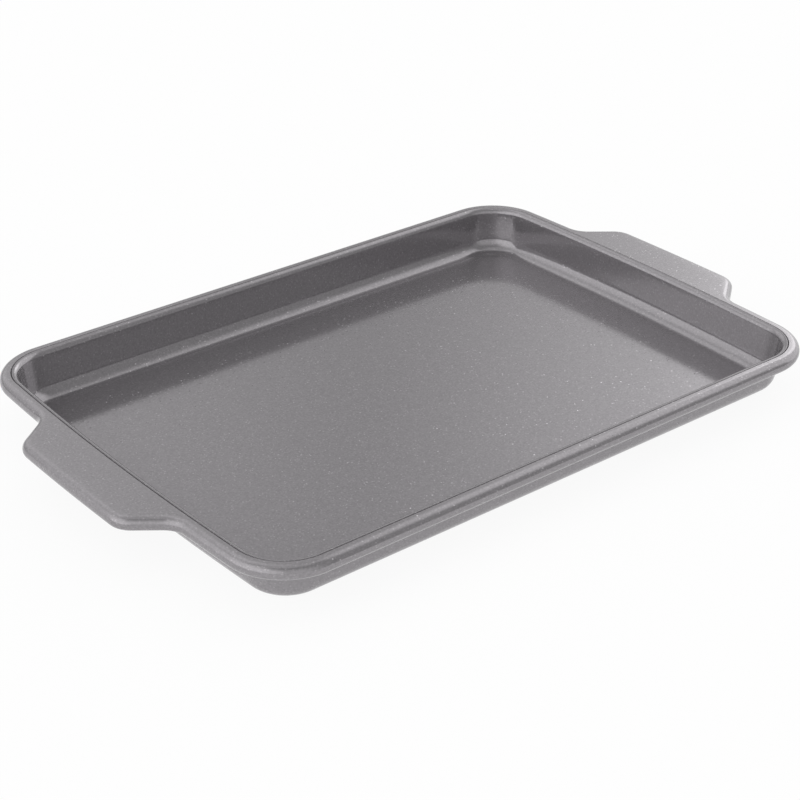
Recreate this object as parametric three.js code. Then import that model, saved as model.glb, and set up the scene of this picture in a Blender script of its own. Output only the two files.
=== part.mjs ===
// A rimmed sheet pan with two tab handles: one pressed, coated steel sheet with a wire rolled into its edge.
// Millimetres, +Z up. The origin is the middle of the underside: +X runs to a handle, +Y to a long side.
import * as THREE from "three";

// Pressed tray
const PAN_HEIGHT = 27.4;
const SHEET_THICKNESS = 0.8;
const FLOOR_LENGTH = 350.4;
const FLOOR_WIDTH = 236.4;
const FLOOR_CORNER_RADIUS = 14.4;
const SHORT_SIDE_BOW = 2.7;
const FLOOR_FILLET_RADIUS = 8.5;
const WALL_DRAFT = THREE.MathUtils.degToRad(8.5);
const RIM_BEND_RADIUS = 3.4;

// Crease pressed along the rim line, where the wall's bend runs out into the flat of the rim
const CREASE_WIDTH = 0.7;
const CREASE_DEPTH = 0.9;

// Rim and rolled edge
const RIM_FLAT_WIDTH = 2.6;
const WIRE_DIAMETER = 5;
const WIRE_CLEARANCE = 0.3;
const CURL_CROWN = 0.75;
const CURL_TUCK = THREE.MathUtils.degToRad(200);

// Tab handles, measured on the line where the flat of the handle starts to roll over
const HANDLE_REACH = 24.6;
const HANDLE_CORNER_SPACING = 80;
const HANDLE_CORNER_RADIUS = 10;
const SHOULDER_RADIUS = 18;
const SHOULDER_ANGLE = THREE.MathUtils.degToRad(52);

// Facets in each stretch of the section and of the outline
const FILLET_STEPS = 5;
const BEND_STEPS = 4;
const ROLL_STEPS = 4;
const TUCK_STEPS = 7;
const WIRE_SIDES = 8;
const HANDLE_EDGE_STEPS = 2;
const HANDLE_ARC_STEPS = 4;
const SHORT_SIDE_STEPS = 2;
const CORNER_STEPS = 8;
const LONG_SIDE_STEPS = 2;

// The lower bend of the curl is closed round the wire, and the upper bend is fuller by the crown.
const curlLowerRadius = WIRE_DIAMETER / 2 + WIRE_CLEARANCE + SHEET_THICKNESS;
const curlUpperRadius = curlLowerRadius + CURL_CROWN;

// How far the rim line stands outside the floor line, over the fillet, the sloping wall and the rim's bend.
const steepest = Math.PI / 2 - WALL_DRAFT;
const bendsTogether = FLOOR_FILLET_RADIUS + RIM_BEND_RADIUS;
const wallRise = PAN_HEIGHT - SHEET_THICKNESS - bendsTogether * (1 - Math.sin(WALL_DRAFT));
const rimOffset = bendsTogether * Math.cos(WALL_DRAFT) + wallRise * Math.tan(WALL_DRAFT);
const edgeOffset = rimOffset + RIM_FLAT_WIDTH;

// Arc centres of the floor line. Every other line of the tray is an offset of it, round the same centres.
const straightHalfWidth = FLOOR_WIDTH / 2 - FLOOR_CORNER_RADIUS;
const bowRadius = (straightHalfWidth ** 2 + SHORT_SIDE_BOW ** 2) / (2 * SHORT_SIDE_BOW);
const bowCentre = new THREE.Vector2(FLOOR_LENGTH / 2 - bowRadius, 0);
const bowToCorner = bowRadius - FLOOR_CORNER_RADIUS;
const cornerReach = Math.sqrt(bowToCorner ** 2 - straightHalfWidth ** 2);
const cornerCentre = new THREE.Vector2(bowCentre.x + cornerReach, straightHalfWidth);

function polar(angle) {
  return new THREE.Vector2(Math.cos(angle), Math.sin(angle));
}

function along(start, direction, distance) {
  return start.clone().addScaledVector(direction, distance);
}

// Evenly spaced values from first to last. The first is left out where it repeats the stretch before.
function spread(first, last, steps, withFirst = false) {
  const values = [];
  for (let i = withFirst ? 0 : 1; i <= steps; i += 1) {
    values.push(first + ((last - first) * i) / steps);
  }
  return values;
}

// A station is one cut across the rim: a point and its outward direction on the floor line,
// and the same on the edge line, where the sheet starts to roll over.
function plainStation(point, normal) {
  return { floor: { point, normal }, edge: { point: along(point, normal, edgeOffset), normal } };
}

function shortSideStation(angle) {
  const normal = polar(angle);
  return plainStation(along(bowCentre, normal, bowRadius), normal);
}

// On a handle the edge line leaves the rim, while the floor line stays on the bowed short side.
function handleStation(point, normal) {
  const towards = point.clone().sub(bowCentre).normalize();
  return { floor: { point: along(bowCentre, towards, bowRadius), normal: towards }, edge: { point, normal } };
}

// One half of the handle's edge line: bowed outer edge, round corner, straight slant and hollow shoulder.
function handleStations() {
  const outerRadius = bowRadius + rimOffset + HANDLE_REACH;
  const cornerRun = outerRadius - HANDLE_CORNER_RADIUS;
  const cornerAngle = Math.asin(HANDLE_CORNER_SPACING / 2 / cornerRun);
  const roundCentre = along(bowCentre, polar(cornerAngle), cornerRun);
  const slantNormal = polar(SHOULDER_ANGLE);
  const slant = new THREE.Vector2(-slantNormal.y, slantNormal.x);
  const slantStart = along(roundCentre, slantNormal, HANDLE_CORNER_RADIUS);

  // The hollow shoulder touches both the slant and the rim's own edge line.
  const hollowRun = bowRadius + edgeOffset + SHOULDER_RADIUS;
  const fromBow = along(slantStart, slantNormal, SHOULDER_RADIUS).sub(bowCentre);
  const lean = fromBow.dot(slant);
  const slantLength = -lean - Math.sqrt(lean ** 2 - fromBow.lengthSq() + hollowRun ** 2);
  const hollowCentre = along(bowCentre, fromBow, 1).addScaledVector(slant, slantLength);
  const shoulderEnd = hollowCentre.clone().sub(bowCentre).angle();

  const stations = [];
  for (const angle of spread(0, cornerAngle, HANDLE_EDGE_STEPS, true)) {
    stations.push(handleStation(along(bowCentre, polar(angle), outerRadius), polar(angle)));
  }
  for (const angle of spread(cornerAngle, SHOULDER_ANGLE, HANDLE_ARC_STEPS)) {
    stations.push(handleStation(along(roundCentre, polar(angle), HANDLE_CORNER_RADIUS), polar(angle)));
  }
  for (const angle of spread(SHOULDER_ANGLE, shoulderEnd, HANDLE_ARC_STEPS, true)) {
    stations.push(handleStation(along(hollowCentre, polar(angle), -SHOULDER_RADIUS), polar(angle)));
  }
  return { stations, shoulderEnd };
}

// A quarter of the way round, from the middle of a handle to the middle of a long side.
function quarterStations() {
  const { stations, shoulderEnd } = handleStations();
  const cornerStart = cornerCentre.clone().sub(bowCentre).angle();
  for (const angle of spread(shoulderEnd, cornerStart, SHORT_SIDE_STEPS)) {
    stations.push(shortSideStation(angle));
  }
  for (const angle of spread(cornerStart, Math.PI / 2, CORNER_STEPS)) {
    stations.push(plainStation(along(cornerCentre, polar(angle), FLOOR_CORNER_RADIUS), polar(angle)));
  }
  for (const x of spread(cornerCentre.x, 0, LONG_SIDE_STEPS)) {
    stations.push(plainStation(new THREE.Vector2(x, FLOOR_WIDTH / 2), new THREE.Vector2(0, 1)));
  }
  return stations;
}

function scaledLine({ point, normal }, flip) {
  return { point: point.clone().multiply(flip), normal: normal.clone().multiply(flip) };
}

function scaledStation(station, flip) {
  return { floor: scaledLine(station.floor, flip), edge: scaledLine(station.edge, flip) };
}

// The whole way round: the quarter, its mirror image across the middle, and both turned half round.
function allStations() {
  const quarter = quarterStations();
  const mirror = new THREE.Vector2(-1, 1);
  const halfTurn = new THREE.Vector2(-1, -1);
  const mirrored = quarter.slice(1, -1).reverse().map((station) => scaledStation(station, mirror));
  const firstHalf = [...quarter, ...mirrored];
  return [...firstHalf, ...firstHalf.map((station) => scaledStation(station, halfTurn))];
}

// A ring is one line of the section carried round every station, at an offset and a height.
function carryRound(stations, line, offset, height) {
  return stations.map((station) => {
    const place = along(station[line].point, station[line].normal, offset);
    return new THREE.Vector3(place.x, place.y, height);
  });
}

// Faces between neighbouring rings. Rings run anticlockwise, so a section going outwards faces up.
function skin(rings, closed) {
  const positions = rings.flat().flatMap((point) => point.toArray());
  const size = rings[0].length;
  const indices = [];
  const bands = closed ? rings.length : rings.length - 1;
  for (let band = 0; band < bands; band += 1) {
    const inner = band * size;
    const outer = ((band + 1) % rings.length) * size;
    for (let i = 0; i < size; i += 1) {
      const next = (i + 1) % size;
      indices.push(inner + i, outer + i, outer + next);
      indices.push(inner + i, outer + next, inner + next);
    }
  }
  return { positions, indices, size };
}

// A flat sheet across a ring, as triangles between its points.
function cover(ring, first, facingUp) {
  const outline = ring.map((point) => new THREE.Vector2(point.x, point.y));
  const triangles = THREE.ShapeUtils.triangulateShape(outline, []);
  return triangles.flatMap((triangle) => {
    const corners = triangle.map((corner) => first + corner);
    return facingUp ? corners : corners.reverse();
  });
}

function solid(positions, indices) {
  const geometry = new THREE.BufferGeometry();
  geometry.setAttribute("position", new THREE.Float32BufferAttribute(positions, 3));
  geometry.setIndex(indices);
  geometry.computeVertexNormals();
  return geometry;
}

// Fillet between the floor and the wall: its tilt goes from flat to the slope of the wall.
function filletLine(depth, tilt) {
  const radius = FLOOR_FILLET_RADIUS + depth;
  const height = SHEET_THICKNESS + FLOOR_FILLET_RADIUS - radius * Math.cos(tilt);
  return { line: "floor", offset: radius * Math.sin(tilt), height };
}

// Bend from the wall out into the rim
function bendLine(depth, tilt) {
  const radius = RIM_BEND_RADIUS - depth;
  const height = PAN_HEIGHT - RIM_BEND_RADIUS + radius * Math.cos(tilt);
  return { line: "floor", offset: rimOffset - radius * Math.sin(tilt), height };
}

// The crease's lowest line, and its outer edge, where the flat of the rim starts
function creaseLines(depth) {
  const height = PAN_HEIGHT - depth;
  return [
    { line: "floor", offset: rimOffset + CREASE_WIDTH / 2, height: height - CREASE_DEPTH },
    { line: "floor", offset: rimOffset + CREASE_WIDTH, height },
  ];
}

// Upper bend of the rolled edge, from the flat of the rim to its outermost line
function rollLine(depth, turn) {
  const radius = curlUpperRadius - depth;
  const height = PAN_HEIGHT - curlUpperRadius + radius * Math.cos(turn);
  return { line: "edge", offset: radius * Math.sin(turn), height };
}

// Lower bend of the rolled edge, under the wire and up behind it
function tuckLine(depth, turn) {
  const radius = curlLowerRadius - depth;
  const height = PAN_HEIGHT - curlUpperRadius - radius * Math.sin(turn);
  return { line: "edge", offset: CURL_CROWN + radius * Math.cos(turn), height };
}

// The food side of the section, from the floor line out to the cut edge of the sheet
function upperLines() {
  return [
    ...spread(0, steepest, FILLET_STEPS, true).map((tilt) => filletLine(0, tilt)),
    ...spread(steepest, 0, BEND_STEPS, true).map((tilt) => bendLine(0, tilt)),
    ...creaseLines(0),
    ...spread(0, Math.PI / 2, ROLL_STEPS, true).map((turn) => rollLine(0, turn)),
    ...spread(0, CURL_TUCK, TUCK_STEPS).map((turn) => tuckLine(0, turn)),
  ];
}

// The underside of the section, one sheet thickness away, back to the floor line
function lowerLines() {
  return [
    ...spread(CURL_TUCK, 0, TUCK_STEPS, true).map((turn) => tuckLine(SHEET_THICKNESS, turn)),
    ...spread(Math.PI / 2, 0, ROLL_STEPS).map((turn) => rollLine(SHEET_THICKNESS, turn)),
    ...creaseLines(SHEET_THICKNESS).reverse(),
    ...spread(0, steepest, BEND_STEPS, true).map((tilt) => bendLine(SHEET_THICKNESS, tilt)),
    ...spread(steepest, 0, FILLET_STEPS, true).map((tilt) => filletLine(SHEET_THICKNESS, tilt)),
  ];
}

function panSheetGeometry(stations) {
  const lines = [...upperLines(), ...lowerLines()];
  const rings = lines.map(({ line, offset, height }) => carryRound(stations, line, offset, height));
  const { positions, indices, size } = skin(rings, false);
  const underside = rings.length - 1;
  indices.push(...cover(rings[0], 0, true));
  indices.push(...cover(rings[underside], underside * size, false));
  return solid(positions, indices);
}

// The wire lies in the lower bend of the curl, all the way round the rim and both handles.
function rimWireGeometry(stations) {
  const radius = WIRE_DIAMETER / 2;
  const turns = spread(0, -2 * Math.PI, WIRE_SIDES);
  const rings = turns.map((turn) => {
    const height = PAN_HEIGHT - curlUpperRadius + radius * Math.sin(turn);
    return carryRound(stations, "edge", CURL_CROWN + radius * Math.cos(turn), height);
  });
  const { positions, indices } = skin(rings, true);
  return solid(positions, indices);
}

const coatedSteel = new THREE.MeshStandardMaterial({ color: "#888588", roughness: 0.42, metalness: 0.6 });
const steelWire = new THREE.MeshStandardMaterial({ color: "#a3a19e", roughness: 0.35, metalness: 1 });

function named(name, geometry, material) {
  const mesh = new THREE.Mesh(geometry, material);
  mesh.name = name;
  return mesh;
}

const stations = allStations();
const sheetPan = new THREE.Group();
sheetPan.add(named("pan_sheet", panSheetGeometry(stations), coatedSteel));
sheetPan.add(named("rim_wire", rimWireGeometry(stations), steelWire));

export default sheetPan;
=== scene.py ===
import math

import bpy
from bpy.props import FloatProperty, FloatVectorProperty, PointerProperty
from mathutils import Matrix, Vector


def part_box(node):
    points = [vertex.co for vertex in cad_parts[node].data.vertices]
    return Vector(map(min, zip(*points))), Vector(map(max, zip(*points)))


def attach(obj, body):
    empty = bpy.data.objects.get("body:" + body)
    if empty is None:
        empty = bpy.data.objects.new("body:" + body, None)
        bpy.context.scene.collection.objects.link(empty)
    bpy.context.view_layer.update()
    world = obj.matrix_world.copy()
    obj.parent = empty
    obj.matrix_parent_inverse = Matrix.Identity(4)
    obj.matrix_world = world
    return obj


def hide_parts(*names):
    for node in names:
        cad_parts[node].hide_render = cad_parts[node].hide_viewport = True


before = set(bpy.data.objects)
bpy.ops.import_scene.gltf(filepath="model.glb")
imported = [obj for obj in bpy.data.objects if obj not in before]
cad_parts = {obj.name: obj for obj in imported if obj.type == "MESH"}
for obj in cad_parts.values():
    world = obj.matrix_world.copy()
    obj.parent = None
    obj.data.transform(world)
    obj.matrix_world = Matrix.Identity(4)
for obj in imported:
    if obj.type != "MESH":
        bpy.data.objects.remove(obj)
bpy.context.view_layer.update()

bl_info = {
    "name": "Sheet Pan",
    "version": (1, 0, 0),
    "blender": (4, 5, 0),
    "location": "View3D > Sidebar > Sheet Pan",
    "description": "Builds a coated steel sheet pan with a wired rim, and the stage it stands on",
    "category": "Object",
}

MM = 0.001
SHEET_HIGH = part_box("pan_sheet")[1]

# Faces in each stretch of the section, from the floor out to the cut edge
FLOOR_INSETS = (10 * MM, 4 * MM, 1.5 * MM, 0.5 * MM)
FILLET_STEPS = 14
WALL_STEPS = 6
BEND_STEPS = 12
CREASE_STEPS = 4
FLAT_STEPS = 5
ROLL_STEPS = 14
TUCK_STEPS = 28
WIRE_SIDES = 24

# Faces in each stretch of a quarter of the outline
HANDLE_EDGE_STEPS = 8
HANDLE_ARC_STEPS = 12
SLANT_STEPS = 3
SHORT_SIDE_STEPS = 6
CORNER_STEPS = 22
LONG_SIDE_STEPS = 18

CUT_EDGE_ANGLE = math.radians(40)
WHITE = (1, 1, 1, 1)


def linear(code):
    """Scene-linear red, green and blue of an sRGB hex colour."""
    channels = [int(code[i : i + 2], 16) / 255 for i in (1, 3, 5)]
    return tuple(c / 12.92 if c <= 0.04045 else ((c + 0.055) / 1.055) ** 2.4 for c in channels)


class SheetPanSizes(bpy.types.PropertyGroup):
    """Sizes of the pressed sheet and its wire"""

    pan_height: FloatProperty(
        name="Pan height", description="From the underside to the flat of the rim",
        default=SHEET_HIGH.z, unit="LENGTH")
    sheet_thickness: FloatProperty(
        name="Sheet thickness", description="Thickness of the steel sheet",
        default=0.8 * MM, unit="LENGTH")
    floor_length: FloatProperty(
        name="Floor length", description="Flat floor, between the middles of the short sides",
        default=350.4 * MM, unit="LENGTH")
    floor_width: FloatProperty(
        name="Floor width", description="Flat floor, between the long sides",
        default=236.4 * MM, unit="LENGTH")
    floor_corner_radius: FloatProperty(
        name="Floor corner radius", description="Plan radius of the floor's corners",
        default=14.4 * MM, unit="LENGTH")
    short_side_bow: FloatProperty(
        name="Short side bow", description="How far the short sides bulge outwards",
        default=2.7 * MM, unit="LENGTH")
    floor_fillet_radius: FloatProperty(
        name="Floor fillet radius", description="Inside radius between the floor and the wall",
        default=8.5 * MM, unit="LENGTH")
    wall_draft: FloatProperty(
        name="Wall draft", description="Lean of the wall away from upright",
        default=math.radians(8.5), subtype="ANGLE")
    rim_bend_radius: FloatProperty(
        name="Rim bend radius", description="Outside radius of the bend from the wall into the rim",
        default=3.4 * MM, unit="LENGTH")
    crease_width: FloatProperty(
        name="Crease width", description="Width of the crease along the rim line",
        default=0.7 * MM, unit="LENGTH")
    crease_depth: FloatProperty(
        name="Crease depth", description="Depth of the crease along the rim line",
        default=0.9 * MM, unit="LENGTH")
    rim_flat_width: FloatProperty(
        name="Rim flat width", description="Flat of the rim, crease included",
        default=2.6 * MM, unit="LENGTH")
    wire_diameter: FloatProperty(
        name="Wire diameter", description="Steel wire inside the rolled edge",
        default=5 * MM, unit="LENGTH")
    wire_clearance: FloatProperty(
        name="Wire clearance", description="Room between the wire and the sheet",
        default=0.3 * MM, unit="LENGTH")
    curl_crown: FloatProperty(
        name="Curl crown", description="How much fuller the roll's upper bend is than its lower bend",
        default=0.75 * MM, unit="LENGTH")
    curl_tuck: FloatProperty(
        name="Curl tuck", description="How far the lower bend turns, under the wire and up behind it",
        default=math.radians(200), subtype="ANGLE")
    handle_reach: FloatProperty(
        name="Handle reach", description="From the rim line to the line where the handle rolls over",
        default=24.6 * MM, unit="LENGTH")
    handle_corner_spacing: FloatProperty(
        name="Handle corner spacing", description="Between the centres of the handle's round corners",
        default=80 * MM, unit="LENGTH")
    handle_corner_radius: FloatProperty(
        name="Handle corner radius", description="Plan radius of the handle's outer corners",
        default=10 * MM, unit="LENGTH")
    shoulder_radius: FloatProperty(
        name="Shoulder radius", description="Plan radius of the hollow where the handle leaves the rim",
        default=18 * MM, unit="LENGTH")
    shoulder_angle: FloatProperty(
        name="Shoulder angle", description="Turn of the handle's slanted side from its outer edge",
        default=math.radians(52), subtype="ANGLE")


class SheetPanColours(bpy.types.PropertyGroup):
    """Colours of the coating, the wire and the stage"""

    coating: FloatVectorProperty(
        name="Coating", description="Ground colour of the non-stick coating",
        default=linear("#918e91"), subtype="COLOR", min=0, max=1)
    flake: FloatVectorProperty(
        name="Flakes", description="Pale metal and mica flakes in the coating",
        default=linear("#aba8ab"), subtype="COLOR", min=0, max=1)
    zinc: FloatVectorProperty(
        name="Zinc", description="Galvanised face of the wire",
        default=linear("#b4b5b5"), subtype="COLOR", min=0, max=1)
    floor: FloatVectorProperty(
        name="Floor", description="Plain floor under the pan",
        default=linear("#f2f2f2"), subtype="COLOR", min=0, max=1)


class SheetPanStage(bpy.types.PropertyGroup):
    """Camera and light"""

    camera_place: FloatVectorProperty(
        name="Camera place", description="Where the camera stands",
        default=(-0.59156, -0.72422, 0.51168), subtype="TRANSLATION", unit="LENGTH")
    camera_turn: FloatProperty(
        name="Camera turn", description="Heading of the view, from +Y towards +X",
        default=math.radians(39.043), subtype="ANGLE")
    camera_dip: FloatProperty(
        name="Camera dip", description="How far the view looks down",
        default=math.radians(28.799), subtype="ANGLE")
    camera_roll: FloatProperty(
        name="Camera roll", description="Turn of the picture about the view",
        default=math.radians(0.143), subtype="ANGLE")
    camera_lens: FloatProperty(
        name="Camera lens", description="Focal length on a 36 mm wide sensor",
        default=84.63, unit="CAMERA")
    even_light: FloatProperty(
        name="Even light", description="Brightness of the surroundings all round", default=0.46)
    left_panel: FloatProperty(
        name="Left panel", description="Brightness of the wide panel at the left", default=1.18)
    right_panel: FloatProperty(
        name="Right panel", description="Brightness of the panel at the right", default=0.96)
    right_lamp: FloatProperty(
        name="Right lamp", description="Brightness added at the far edge of the right panel", default=1.4)
    far_panel: FloatProperty(
        name="Far panel", description="Brightness of the panel behind the far side", default=0.45)
    far_lamp: FloatProperty(
        name="Far lamp", description="Brightness added at the right of the far panel", default=0.21)
    low_lamp: FloatProperty(
        name="Low lamp", description="Brightness added low down behind the far corner", default=0.35)
    top_lamp: FloatProperty(
        name="Top lamp", description="Brightness added overhead", default=0.34)
    near_panel: FloatProperty(
        name="Near panel", description="Brightness of the low panel at the camera's side", default=0.44)


def add_node(tree, kind, values=None, links=None, **settings):
    """One shader node with its settings, its socket values and the outputs linked into it."""
    node = tree.nodes.new(kind)
    for name, value in settings.items():
        setattr(node, name, value)
    for socket, value in (values or {}).items():
        node.inputs[socket].default_value = value
    for socket, output in (links or {}).items():
        tree.links.new(output, node.inputs[socket])
    return node


def new_material(name):
    material = bpy.data.materials.new(name)
    material.use_nodes = True
    material.node_tree.nodes.clear()
    return material, material.node_tree


def colour(value):
    return (*value, 1.0)


# Non-stick coating, sprayed over pressed steel and baked. Metal and mica flakes in a grey binder give
# a satin sheen, a faint even grain, and single flakes that lie tilted and catch the light. Real flakes
# are about 0.1 mm across. They are drawn coarser, as the clusters that show from arm's length.
COATING_METALLIC = 0.66
COATING_ROUGHNESS = (0.115, 0.135)
FLAKE_SPACING = 1.3 * MM
FLAKE_RADIUS = 0.5 * MM
FLAKE_CORE_RADIUS = 0.25 * MM
# Share of the flakes that lie too deep to show
FLAKES_HIDDEN = 0.45
FLAKE_TILT = 0.18
FLAKE_GLOSS = 0.06
# Random colour that stands for a flake lying flat
NO_LEAN = (0.5, 0.5, 0.5)
NOISE_DETAIL = 2.0
GRAIN_SIZE = 1.2 * MM
GRAIN_ROUGHNESS = 0.6
# Noise values taken as the lowest and the highest
GRAIN_LIMITS = (0.3, 0.7)
GRAIN_SHADE = 0.11
GRAIN_STRENGTH = 0.12
GRAIN_RELIEF = 0.05 * MM
MOTTLE_SIZE = 45 * MM
MOTTLE_LIMITS = (0.35, 0.65)


def coating_flakes(tree, place):
    """How strongly a flake shows at each point, and the random colour that gives each flake its lean."""
    cells = add_node(tree, "ShaderNodeTexVoronoi", {"Scale": 1 / FLAKE_SPACING}, {"Vector": place})
    dot = add_node(
        tree, "ShaderNodeMapRange",
        {"From Min": FLAKE_RADIUS / FLAKE_SPACING, "From Max": FLAKE_CORE_RADIUS / FLAKE_SPACING},
        {"Value": cells.outputs["Distance"]})
    chance = add_node(tree, "ShaderNodeTexWhiteNoise", None, {"Vector": cells.outputs["Position"]})
    shown = add_node(
        tree, "ShaderNodeMapRange", {"From Min": FLAKES_HIDDEN, "From Max": 1.0},
        {"Value": chance.outputs["Value"]})
    flake = add_node(
        tree, "ShaderNodeMath", None,
        {0: dot.outputs["Result"], 1: shown.outputs["Result"]}, operation="MULTIPLY")
    return flake.outputs["Value"], cells.outputs["Color"]


def coating_colour(tree, colours, flake, grain):
    """Grey binder, darker and paler with the grain, with pale flakes in it."""
    shade = add_node(
        tree, "ShaderNodeMapRange",
        {
            "From Min": GRAIN_LIMITS[0],
            "From Max": GRAIN_LIMITS[1],
            "To Min": 1 - GRAIN_SHADE,
            "To Max": 1 + GRAIN_SHADE,
        },
        {"Value": grain})
    binder = add_node(
        tree, "ShaderNodeMix", {"Factor": 1.0, "A": colour(colours.coating)}, {"B": shade.outputs["Result"]},
        data_type="RGBA", blend_type="MULTIPLY")
    spotted = add_node(
        tree, "ShaderNodeMix", {"B": colour(colours.flake)},
        {"Factor": flake, "A": binder.outputs["Result"]}, data_type="RGBA")
    return spotted.outputs["Result"]


def coating_roughness(tree, place, flake):
    """Satin all over, changing in wide soft patches, and glossier on the flakes."""
    mottle = add_node(
        tree, "ShaderNodeTexNoise", {"Scale": 1 / MOTTLE_SIZE, "Detail": NOISE_DETAIL}, {"Vector": place})
    satin = add_node(
        tree, "ShaderNodeMapRange",
        {
            "From Min": MOTTLE_LIMITS[0],
            "From Max": MOTTLE_LIMITS[1],
            "To Min": COATING_ROUGHNESS[0],
            "To Max": COATING_ROUGHNESS[1],
        },
        {"Value": mottle.outputs["Fac"]})
    gloss = add_node(
        tree, "ShaderNodeMath", {1: -FLAKE_GLOSS}, {0: flake, 2: satin.outputs["Result"]},
        operation="MULTIPLY_ADD")
    return gloss.outputs["Value"]


def coating_normal(tree, grain, flake, flake_colour):
    """Fine relief of the grain, with each flake leaning its own way."""
    bump = add_node(
        tree, "ShaderNodeBump", {"Strength": GRAIN_STRENGTH, "Distance": GRAIN_RELIEF}, {"Height": grain})
    lean = add_node(tree, "ShaderNodeVectorMath", {1: NO_LEAN}, {0: flake_colour}, operation="SUBTRACT")
    reach = add_node(tree, "ShaderNodeMath", {1: 2 * FLAKE_TILT}, {0: flake}, operation="MULTIPLY")
    tilt = add_node(
        tree, "ShaderNodeVectorMath", None,
        {0: lean.outputs["Vector"], "Scale": reach.outputs["Value"]}, operation="SCALE")
    tilted = add_node(
        tree, "ShaderNodeVectorMath", None,
        {0: bump.outputs["Normal"], 1: tilt.outputs["Vector"]}, operation="ADD")
    facing = add_node(
        tree, "ShaderNodeVectorMath", None, {0: tilted.outputs["Vector"]}, operation="NORMALIZE")
    return facing.outputs["Vector"]


def sprayed_nonstick_coating(colours):
    material, tree = new_material("sprayed_nonstick_coating")
    place = add_node(tree, "ShaderNodeTexCoord").outputs["Object"]
    flake, flake_colour = coating_flakes(tree, place)
    noise = add_node(
        tree, "ShaderNodeTexNoise",
        {"Scale": 1 / GRAIN_SIZE, "Detail": NOISE_DETAIL, "Roughness": GRAIN_ROUGHNESS}, {"Vector": place})
    grain = noise.outputs["Fac"]
    shader = add_node(
        tree, "ShaderNodeBsdfPrincipled", {"Metallic": COATING_METALLIC},
        {
            "Base Color": coating_colour(tree, colours, flake, grain),
            "Roughness": coating_roughness(tree, place, flake),
            "Normal": coating_normal(tree, grain, flake, flake_colour),
        })
    add_node(tree, "ShaderNodeOutputMaterial", None, {"Surface": shader.outputs["BSDF"]})
    return material


# Steel wire, drawn and hot-dip galvanised: a dull bright metal with faint patches of zinc crystal.
SPANGLE_SIZE = 4 * MM
SPANGLE_DARKEST = 0.85
ZINC_ROUGHNESS = (0.38, 0.5)


def galvanised_steel_wire(colours):
    material, tree = new_material("galvanised_steel_wire")
    place = add_node(tree, "ShaderNodeTexCoord").outputs["Object"]
    spangle = add_node(tree, "ShaderNodeTexVoronoi", {"Scale": 1 / SPANGLE_SIZE}, {"Vector": place})
    chance = add_node(tree, "ShaderNodeSeparateColor", None, {"Color": spangle.outputs["Color"]})
    shade = add_node(
        tree, "ShaderNodeMapRange", {"To Min": SPANGLE_DARKEST, "To Max": 1.0},
        {"Value": chance.outputs["Red"]})
    tone = add_node(
        tree, "ShaderNodeMix", {"Factor": 1.0, "A": colour(colours.zinc)}, {"B": shade.outputs["Result"]},
        data_type="RGBA", blend_type="MULTIPLY")
    dull = add_node(
        tree, "ShaderNodeMapRange", {"To Min": ZINC_ROUGHNESS[0], "To Max": ZINC_ROUGHNESS[1]},
        {"Value": chance.outputs["Green"]})
    shader = add_node(
        tree, "ShaderNodeBsdfPrincipled", {"Metallic": 1.0},
        {"Base Color": tone.outputs["Result"], "Roughness": dull.outputs["Result"]})
    add_node(tree, "ShaderNodeOutputMaterial", None, {"Surface": shader.outputs["BSDF"]})
    return material


def polar(angle):
    return Vector((math.cos(angle), math.sin(angle)))


def heading(vector):
    return math.atan2(vector.y, vector.x)


def spread(first, last, steps, with_first=False):
    """Evenly spaced values from first to last.

    The first is left out where it repeats the end of the stretch before.
    """
    return [first + (last - first) * i / steps for i in range(0 if with_first else 1, steps + 1)]


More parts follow.
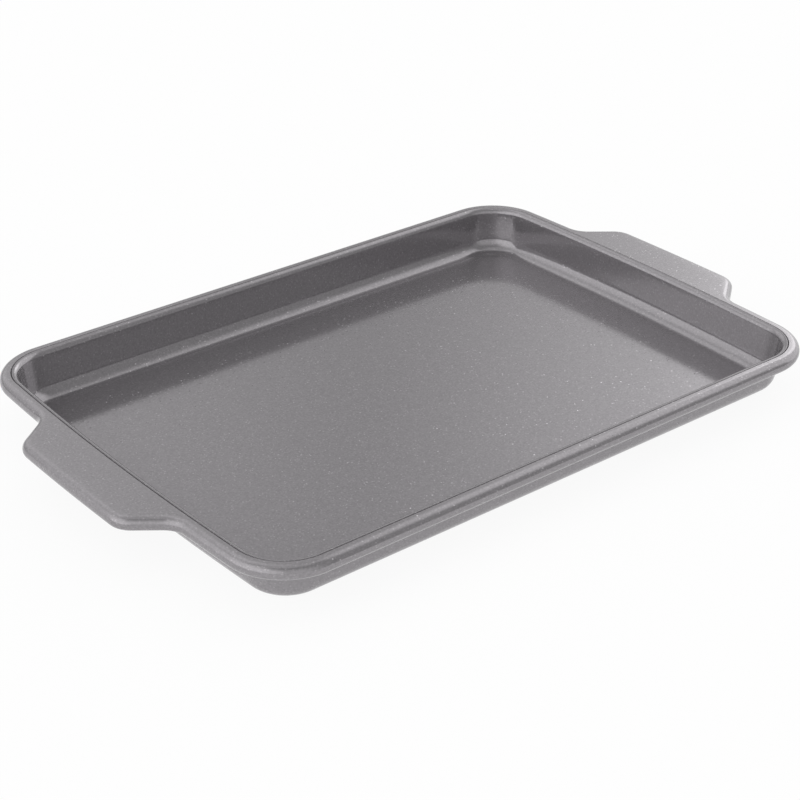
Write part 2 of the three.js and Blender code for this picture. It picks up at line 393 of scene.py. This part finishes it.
class PanForm:
    """The lines and radii that the sheet and the wire are both made from."""

    def __init__(self, sizes):
        self.sizes = sizes
        s = sizes
        self.lower_radius = s.wire_diameter / 2 + s.wire_clearance + s.sheet_thickness
        self.upper_radius = self.lower_radius + s.curl_crown
        self.roll_height = s.pan_height - self.upper_radius
        self.steepest = math.pi / 2 - s.wall_draft
        bends = s.floor_fillet_radius + s.rim_bend_radius
        wall_rise = s.pan_height - s.sheet_thickness - bends * (1 - math.sin(s.wall_draft))
        self.rim_offset = bends * math.cos(s.wall_draft) + wall_rise * math.tan(s.wall_draft)
        self.edge_offset = self.rim_offset + s.rim_flat_width
        half = s.floor_width / 2 - s.floor_corner_radius
        self.bow_radius = (half**2 + s.short_side_bow**2) / (2 * s.short_side_bow)
        self.bow_centre = Vector((s.floor_length / 2 - self.bow_radius, 0))
        reach = math.sqrt((self.bow_radius - s.floor_corner_radius) ** 2 - half**2)
        self.corner_centre = Vector((self.bow_centre.x + reach, half))

    def plain_station(self, point, normal):
        return point, normal, point + normal * self.edge_offset, normal

    def handle_station(self, point, normal):
        towards = (point - self.bow_centre).normalized()
        return self.bow_centre + towards * self.bow_radius, towards, point, normal

    def shoulder(self, slant_start, slant, slant_normal):
        """Length of a handle's slanted side, and centre of the hollow that joins it to the plain edge."""
        hollow_run = self.bow_radius + self.edge_offset + self.sizes.shoulder_radius
        from_bow = slant_start + slant_normal * self.sizes.shoulder_radius - self.bow_centre
        lean = from_bow.dot(slant)
        length = -lean - math.sqrt(lean**2 - from_bow.length_squared + hollow_run**2)
        return length, self.bow_centre + from_bow + slant * length

    def handle_stations(self):
        """Half of a handle's edge line: bowed outer edge, round corner, slant and hollow shoulder."""
        s = self.sizes
        outer = self.bow_radius + self.rim_offset + s.handle_reach
        run = outer - s.handle_corner_radius
        corner = math.asin(s.handle_corner_spacing / 2 / run)
        round_centre = self.bow_centre + polar(corner) * run
        slant_normal = polar(s.shoulder_angle)
        slant = Vector((-slant_normal.y, slant_normal.x))
        slant_start = round_centre + slant_normal * s.handle_corner_radius
        length, hollow_centre = self.shoulder(slant_start, slant, slant_normal)
        shoulder_end = heading(hollow_centre - self.bow_centre)
        edge_line = []
        for angle in spread(0, corner, HANDLE_EDGE_STEPS, True):
            edge_line.append((self.bow_centre + polar(angle) * outer, polar(angle)))
        for angle in spread(corner, s.shoulder_angle, HANDLE_ARC_STEPS):
            edge_line.append((round_centre + polar(angle) * s.handle_corner_radius, polar(angle)))
        for distance in spread(0, length, SLANT_STEPS):
            edge_line.append((slant_start + slant * distance, slant_normal))
        for angle in spread(s.shoulder_angle, shoulder_end, HANDLE_ARC_STEPS):
            edge_line.append((hollow_centre - polar(angle) * s.shoulder_radius, polar(angle)))
        return [self.handle_station(point, normal) for point, normal in edge_line], shoulder_end

    def stations(self):
        """Cuts all the way round the pan.

        Each holds a point and an outward direction on the floor line, and the same on the edge line.
        """
        s = self.sizes
        quarter, shoulder_end = self.handle_stations()
        corner_start = heading(self.corner_centre - self.bow_centre)
        floor_line = []
        for angle in spread(shoulder_end, corner_start, SHORT_SIDE_STEPS):
            floor_line.append((self.bow_centre + polar(angle) * self.bow_radius, polar(angle)))
        for angle in spread(corner_start, math.pi / 2, CORNER_STEPS):
            floor_line.append((self.corner_centre + polar(angle) * s.floor_corner_radius, polar(angle)))
        for x in spread(self.corner_centre.x, 0, LONG_SIDE_STEPS):
            floor_line.append((Vector((x, s.floor_width / 2)), Vector((0, 1))))
        quarter += [self.plain_station(point, normal) for point, normal in floor_line]
        mirrored = [tuple(Vector((-v.x, v.y)) for v in station) for station in reversed(quarter[1:-1])]
        half = quarter + mirrored
        return half + [tuple(-v for v in station) for station in half]

    def fillet_line(self, depth, tilt):
        radius = self.sizes.floor_fillet_radius + depth
        height = self.sizes.sheet_thickness + self.sizes.floor_fillet_radius - radius * math.cos(tilt)
        return (0, radius * math.sin(tilt), 0, height)

    def bend_line(self, depth, tilt):
        radius = self.sizes.rim_bend_radius - depth
        height = self.sizes.pan_height - self.sizes.rim_bend_radius + radius * math.cos(tilt)
        return (0, self.rim_offset - radius * math.sin(tilt), 0, height)

    def roll_line(self, depth, turn):
        radius = self.upper_radius - depth
        return (1, 0, radius * math.sin(turn), self.roll_height + radius * math.cos(turn))

    def tuck_line(self, depth, turn):
        radius = self.lower_radius - depth
        offset = self.sizes.curl_crown + radius * math.cos(turn)
        return (1, 0, offset, self.roll_height - radius * math.sin(turn))

    def face_lines(self, depth):
        """One face of the sheet from the floor to the cut edge.

        Each line holds its share of the way to the edge line, its two offsets and its height.
        """
        s = self.sizes
        level = s.sheet_thickness - depth
        rim_level = s.pan_height - depth
        lines = [(0, -inset, 0, level) for inset in FLOOR_INSETS]
        lines += [self.fillet_line(depth, tilt) for tilt in spread(0, self.steepest, FILLET_STEPS, True)]
        foot, head = lines[-1], self.bend_line(depth, self.steepest)
        lines += [
            (0, foot[1] + (head[1] - foot[1]) * share, 0, foot[3] + (head[3] - foot[3]) * share)
            for share in spread(0, 1, WALL_STEPS)
        ]
        lines += [self.bend_line(depth, tilt) for tilt in spread(self.steepest, 0, BEND_STEPS)]
        for share in spread(0, 1, CREASE_STEPS):
            dip = s.crease_depth * (1 - abs(2 * share - 1))
            lines.append((0, self.rim_offset + s.crease_width * share, 0, rim_level - dip))
        flat_start = self.rim_offset + s.crease_width
        lines += [(share, flat_start, 0, rim_level) for share in spread(0, 1, FLAT_STEPS)]
        lines += [self.roll_line(depth, turn) for turn in spread(0, math.pi / 2, ROLL_STEPS)]
        lines += [self.tuck_line(depth, turn) for turn in spread(0, s.curl_tuck, TUCK_STEPS)]
        return lines

    def ring(self, stations, line):
        share, floor_offset, edge_offset, height = line
        points = []
        for floor, floor_normal, edge, edge_normal in stations:
            inner = floor + floor_normal * floor_offset
            outer = edge + edge_normal * edge_offset
            place = inner.lerp(outer, share)
            points.append((place.x, place.y, height))
        return points


def skin(rings, closed=False):
    """Quads between neighbouring rings, each ring joined to the next all the way round."""
    size = len(rings[0])
    faces = []
    for band in range(len(rings) if closed else len(rings) - 1):
        inner = band * size
        outer = (band + 1) % len(rings) * size
        for i in range(size):
            after = (i + 1) % size
            faces.append((inner + i, outer + i, outer + after, inner + after))
    return faces


def new_piece(name, rings, faces, material):
    points = [point for ring in rings for point in ring]
    mesh = bpy.data.meshes.new(name)
    mesh.from_pydata(points, [], faces)
    if mesh.validate():
        raise RuntimeError(f"{name} has faces that don't hold together")
    mesh.shade_smooth()
    mesh.set_sharp_from_angle(angle=CUT_EDGE_ANGLE)
    mesh.materials.append(material)
    piece = bpy.data.objects.new(name, mesh)
    bpy.context.scene.collection.objects.link(piece)
    return piece


class SHEETPAN_OT_coated_sheet(bpy.types.Operator):
    """Build the pressed and coated sheet: floor, walls, rim, handles and rolled edge"""

    bl_idname = "sheet_pan.coated_sheet"
    bl_label = "Coated Sheet"

    def execute(self, context):
        form = PanForm(context.scene.sheet_pan_sizes)
        stations = form.stations()
        lines = form.face_lines(0) + form.face_lines(form.sizes.sheet_thickness)[::-1]
        rings = [form.ring(stations, line) for line in lines]
        size = len(stations)
        last_ring = (len(rings) - 1) * size
        floor_face = tuple(range(size))
        underside_face = tuple(reversed(range(last_ring, last_ring + size)))
        faces = [*skin(rings), floor_face, underside_face]
        material = sprayed_nonstick_coating(context.scene.sheet_pan_colours)
        sheet = new_piece("coated_sheet", rings, faces, material)
        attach(sheet, "root")
        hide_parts("pan_sheet")
        return {"FINISHED"}


class SHEETPAN_OT_edge_wire(bpy.types.Operator):
    """Build the steel wire inside the rolled edge"""

    bl_idname = "sheet_pan.edge_wire"
    bl_label = "Edge Wire"

    def execute(self, context):
        form = PanForm(context.scene.sheet_pan_sizes)
        stations = form.stations()
        radius = form.sizes.wire_diameter / 2
        rings = []
        for turn in spread(0, -2 * math.pi, WIRE_SIDES):
            offset = form.sizes.curl_crown + radius * math.cos(turn)
            height = form.roll_height + radius * math.sin(turn)
            rings.append(form.ring(stations, (1, 0, offset, height)))
        material = galvanised_steel_wire(context.scene.sheet_pan_colours)
        wire = new_piece("edge_wire", rings, skin(rings, closed=True), material)
        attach(wire, "root")
        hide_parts("rim_wire")
        return {"FINISHED"}


# Matt white card, lifted towards white where it is seen directly or in a reflection. It keeps a faint
# shadow of the pan.
FLOOR_SIZE = 30.0
FLOOR_DROP = 0.2 * MM
FLOOR_LIFT = 0.92


def matt_white_card(colours):
    material, tree = new_material("matt_white_card")
    rays = add_node(tree, "ShaderNodeLightPath").outputs
    mirrored = add_node(
        tree, "ShaderNodeMath", None,
        {0: rays["Is Glossy Ray"], 1: rays["Is Transmission Ray"]}, operation="MAXIMUM")
    seen = add_node(
        tree, "ShaderNodeMath", None,
        {0: rays["Is Camera Ray"], 1: mirrored.outputs["Value"]}, operation="MAXIMUM")
    lift = add_node(tree, "ShaderNodeMath", {1: FLOOR_LIFT}, {0: seen.outputs["Value"]}, operation="MULTIPLY")
    card = add_node(tree, "ShaderNodeBsdfDiffuse", {"Color": colour(colours.floor)})
    white = add_node(tree, "ShaderNodeEmission", {"Color": WHITE, "Strength": 1.0})
    mixed = add_node(
        tree, "ShaderNodeMixShader", None,
        {"Fac": lift.outputs["Value"], 1: card.outputs["BSDF"], 2: white.outputs["Emission"]})
    add_node(tree, "ShaderNodeOutputMaterial", None, {"Surface": mixed.outputs["Shader"]})
    return material


# Degrees: heading from +Y towards +X, rise above the floor, half width of the part at full strength,
# and half width at which it has faded out
PANELS = {
    "left_panel": (-85, 15, 15, 60),
    "right_panel": (86, 25, 28, 44),
    "right_lamp": (63, 26, 4, 14),
    "far_panel": (-8, 38, 12, 40),
    "far_lamp": (12, 34, 8, 34),
    "low_lamp": (40, 2, 5, 18),
    "top_lamp": (5, 78, 16, 32),
    "near_panel": (200, 15, 10, 50),
}


def soft_patch(tree, direction, angles, strength):
    """A round patch of the surroundings, at full strength in the middle and faded out at its edge."""
    turn, rise, full, faded = (math.radians(angle) for angle in angles)
    middle = (math.sin(turn) * math.cos(rise), math.cos(turn) * math.cos(rise), math.sin(rise))
    near = add_node(tree, "ShaderNodeVectorMath", {1: middle}, {0: direction}, operation="DOT_PRODUCT")
    patch = add_node(
        tree, "ShaderNodeMapRange",
        {"From Min": math.cos(faded), "From Max": math.cos(full), "To Max": strength},
        {"Value": near.outputs["Value"]}, interpolation_type="SMOOTHSTEP")
    return patch.outputs["Result"]


def studio_world(settings):
    """Even surroundings with soft light panels round the stage."""
    world = bpy.data.worlds.new("studio_light")
    world.use_nodes = True
    tree = world.node_tree
    tree.nodes.clear()
    direction = add_node(tree, "ShaderNodeTexCoord").outputs["Generated"]
    sky = add_node(tree, "ShaderNodeBackground", {"Color": WHITE, "Strength": settings.even_light})
    for name, angles in PANELS.items():
        patch = soft_patch(tree, direction, angles, getattr(settings, name))
        panel = add_node(tree, "ShaderNodeBackground", {"Color": WHITE}, {"Strength": patch})
        sky = add_node(tree, "ShaderNodeAddShader", None, {0: sky.outputs[0], 1: panel.outputs["Background"]})
    add_node(tree, "ShaderNodeOutputWorld", None, {"Surface": sky.outputs[0]})
    bpy.context.scene.world = world


SENSOR_WIDTH = 36
VIEW_LIMIT = 40


def lay_floor(context):
    half = FLOOR_SIZE / 2
    corners = [(-half, -half), (half, -half), (half, half), (-half, half)]
    mesh = bpy.data.meshes.new("floor")
    mesh.from_pydata([(x, y, -FLOOR_DROP) for x, y in corners], [], [(0, 1, 2, 3)])
    mesh.materials.append(matt_white_card(context.scene.sheet_pan_colours))
    floor = bpy.data.objects.new("floor", mesh)
    context.scene.collection.objects.link(floor)


def place_camera(context):
    settings = context.scene.sheet_pan_stage
    camera = bpy.data.cameras.new("photo_view")
    camera.lens = settings.camera_lens
    camera.sensor_width = SENSOR_WIDTH
    camera.clip_end = VIEW_LIMIT
    view = bpy.data.objects.new("photo_view", camera)
    view.matrix_world = (
        Matrix.Translation(settings.camera_place)
        @ Matrix.Rotation(-settings.camera_turn, 4, "Z")
        @ Matrix.Rotation(math.pi / 2 - settings.camera_dip, 4, "X")
        @ Matrix.Rotation(settings.camera_roll, 4, "Z"))
    context.scene.collection.objects.link(view)
    context.scene.camera = view


class SHEETPAN_OT_stage(bpy.types.Operator):
    """Lay the floor, set the light and place the camera"""

    bl_idname = "sheet_pan.stage"
    bl_label = "Stage"

    def execute(self, context):
        lay_floor(context)
        studio_world(context.scene.sheet_pan_stage)
        place_camera(context)
        context.scene.view_settings.view_transform = "Standard"
        return {"FINISHED"}


OPERATORS = (SHEETPAN_OT_coated_sheet, SHEETPAN_OT_edge_wire, SHEETPAN_OT_stage)


class SHEETPAN_PT_sidebar(bpy.types.Panel):
    """Sizes, colours and building steps of the sheet pan"""

    bl_label = "Sheet Pan"
    bl_idname = "SHEETPAN_PT_sidebar"
    bl_space_type = "VIEW_3D"
    bl_region_type = "UI"
    bl_category = "Sheet Pan"

    def draw(self, context):
        scene = context.scene
        for group in (scene.sheet_pan_sizes, scene.sheet_pan_colours, scene.sheet_pan_stage):
            box = self.layout.box()
            for name in group.bl_rna.properties.keys():
                if name not in ("rna_type", "name"):
                    box.prop(group, name)
        for operator in OPERATORS:
            self.layout.operator(operator.bl_idname)


CLASSES = (SheetPanSizes, SheetPanColours, SheetPanStage, *OPERATORS, SHEETPAN_PT_sidebar)


def register():
    for cls in CLASSES:
        bpy.utils.register_class(cls)
    bpy.types.Scene.sheet_pan_sizes = PointerProperty(type=SheetPanSizes)
    bpy.types.Scene.sheet_pan_colours = PointerProperty(type=SheetPanColours)
    bpy.types.Scene.sheet_pan_stage = PointerProperty(type=SheetPanStage)


def unregister():
    del bpy.types.Scene.sheet_pan_stage
    del bpy.types.Scene.sheet_pan_colours
    del bpy.types.Scene.sheet_pan_sizes
    for cls in reversed(CLASSES):
        bpy.utils.unregister_class(cls)


def main():
    register()
    bpy.ops.sheet_pan.coated_sheet()
    bpy.ops.sheet_pan.edge_wire()
    bpy.ops.sheet_pan.stage()


if __name__ == "__main__":
    main()
